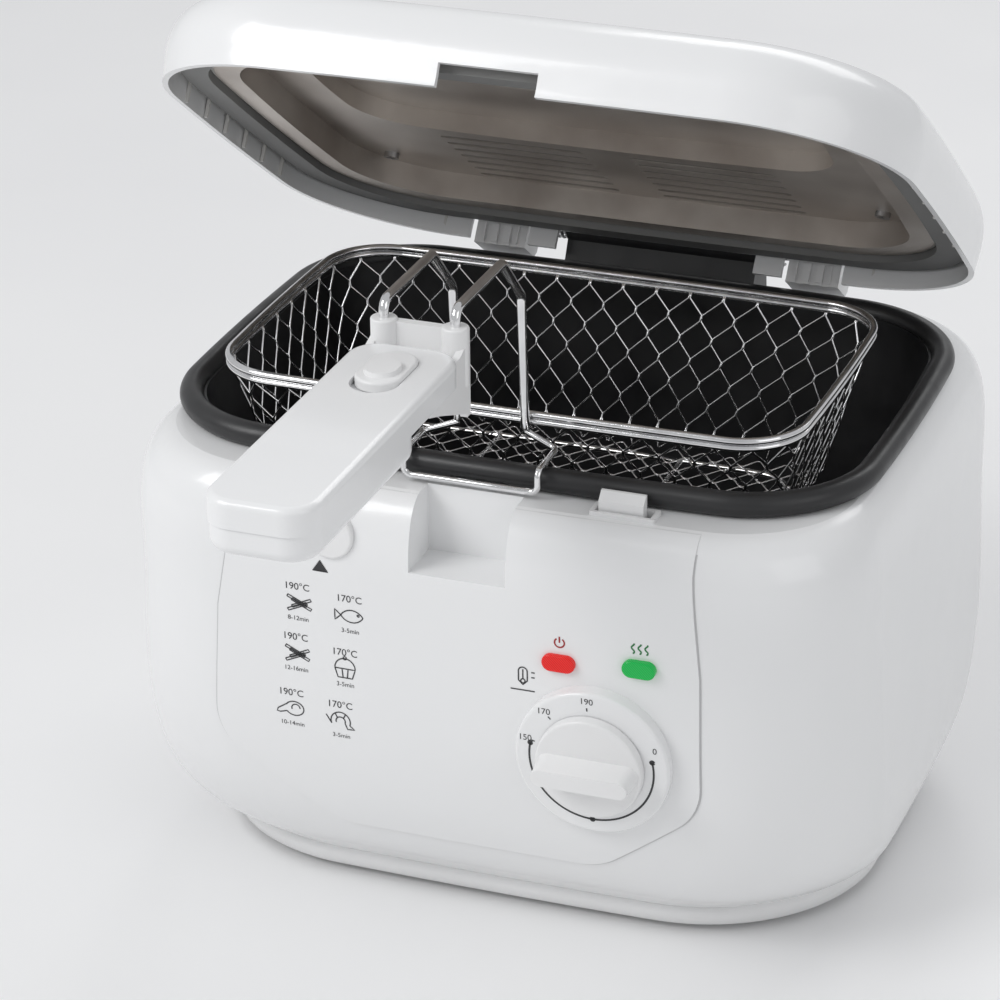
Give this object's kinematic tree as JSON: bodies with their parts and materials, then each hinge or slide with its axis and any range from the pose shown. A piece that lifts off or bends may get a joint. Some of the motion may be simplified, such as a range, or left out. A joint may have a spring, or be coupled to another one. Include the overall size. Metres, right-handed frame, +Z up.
{
  "type": "deep fryer",
  "caption": "Domestic electric deep fryer with hinged lid, non-stick pot, lift-out wire basket with folding handle, dial thermostat and indicator lamps.",
  "frame": {"origin": "on the worktop, under the centre of the pot rim", "axes": "+Z up, +X to the user's right, the control panel faces -Y"},
  "size_m": [0.351, 0.5011, 0.4103],
  "materials": {
    "white_shell": "glossy white moulded plastic",
    "white_inner": "satin off-white moulded plastic",
    "white_button": "glossy white moulded plastic",
    "black_plastic": "black heat-resistant plastic",
    "nonstick": "black non-stick coating on aluminium",
    "liner_metal": "dull brushed aluminium sheet",
    "chrome_wire": "bright chrome-plated steel wire",
    "steel": "zinc-plated steel",
    "seal_rubber": "dark grey silicone seal",
    "foot_rubber": "grey rubber",
    "lens_red": "red ribbed lens, lit from behind",
    "lens_green": "green ribbed lens, lit from behind",
    "filter_felt": "grey filter pad"
  },
  "bodies": {
    "base": {"housing": "white_shell", "front_panel": "white_shell", "dial_bezel": "white_shell", "base_plate": "white_inner", "latch_frame": "white_inner", "lamp_holder": "white_inner", "hinge_block": "black_plastic", "cord_gland": "black_plastic", "terminal_block": "black_plastic", "thermostat_body": "black_plastic", "pot": "nonstick", "heat_shield": "liner_metal", "heating_element": "steel", "thermal_cutout": "steel", "hinge_pin": "steel", "hinge_spring_left": "steel", "hinge_spring_right": "steel", "base_screw_1": "steel", "base_screw_2": "steel", "base_screw_3": "steel", "base_screw_4": "steel", "rubber_foot_1": "foot_rubber", "rubber_foot_2": "foot_rubber", "rubber_foot_3": "foot_rubber", "rubber_foot_4": "foot_rubber", "red_lens": "lens_red", "green_lens": "lens_green"},
    "lid": {"lid_shell": "white_shell", "lid_frame": "white_inner", "lid_liner": "liner_metal", "lid_seal": "seal_rubber", "steam_filter": "filter_felt", "liner_screw_left": "steel", "liner_screw_right": "steel", "hinge_lug_left": "white_inner", "hinge_lug_right": "white_inner", "latch_keeper": "steel"},
    "basket": {"basket_rim": "chrome_wire", "basket_band": "chrome_wire", "basket_mesh": "chrome_wire", "basket_floor_frame": "chrome_wire", "handle_wire_left": "chrome_wire", "handle_wire_right": "chrome_wire", "drain_hook": "chrome_wire", "handle_bracket": "white_inner", "handle_pin": "steel"},
    "grip": {"grip_top": "white_shell", "grip_bottom": "white_shell", "grip_screw_1": "steel", "grip_screw_2": "steel"},
    "fold_release": {"release_button": "white_button"},
    "lid_release": {"lid_button": "white_button"},
    "latch": {"latch_slider": "white_inner"},
    "dial": {"thermostat_knob": "white_button"}
  },
  "joints": [
    {"name": "lid_hinge", "type": "hinge", "parent": "base", "child": "lid", "pos_m": [0, 0.137, 0.23], "axis": [-1, 0, 0], "range_deg": [-14, 0], "stiffness_Nm_per_rad": 8, "springref_deg": 28.65},
    {"name": "basket_lift", "type": "slide", "parent": "base", "child": "basket", "axis": [0, 0, 1], "range_m": [0, 0.025]},
    {"name": "handle_fold", "type": "hinge", "parent": "basket", "child": "grip", "pos_m": [-0.002, -0.219, 0.294], "axis": [1, 0, 0], "range_deg": [0, 75]},
    {"name": "fold_release_slide", "type": "slide", "parent": "grip", "child": "fold_release", "axis": [0, -1, 0], "range_m": [0, 0.005], "stiffness_N_per_m": 300},
    {"name": "lid_button_press", "type": "slide", "parent": "base", "child": "lid_release", "axis": [0, 1, 0], "range_m": [0, 0.003], "stiffness_N_per_m": 600},
    {"name": "latch_slide", "type": "slide", "parent": "base", "child": "latch", "axis": [1, 0, 0], "range_m": [0, 0.0024]},
    {"name": "dial_turn", "type": "hinge", "parent": "base", "child": "dial", "pos_m": [0.062, -0.1502, 0.105], "axis": [0, 0.9976, 0.0698], "range_deg": [0, 250]}
  ],
  "couplings": [
    {"joint": "latch_slide", "follows": "lid_button_press", "ratio": 0.8}
  ]
}
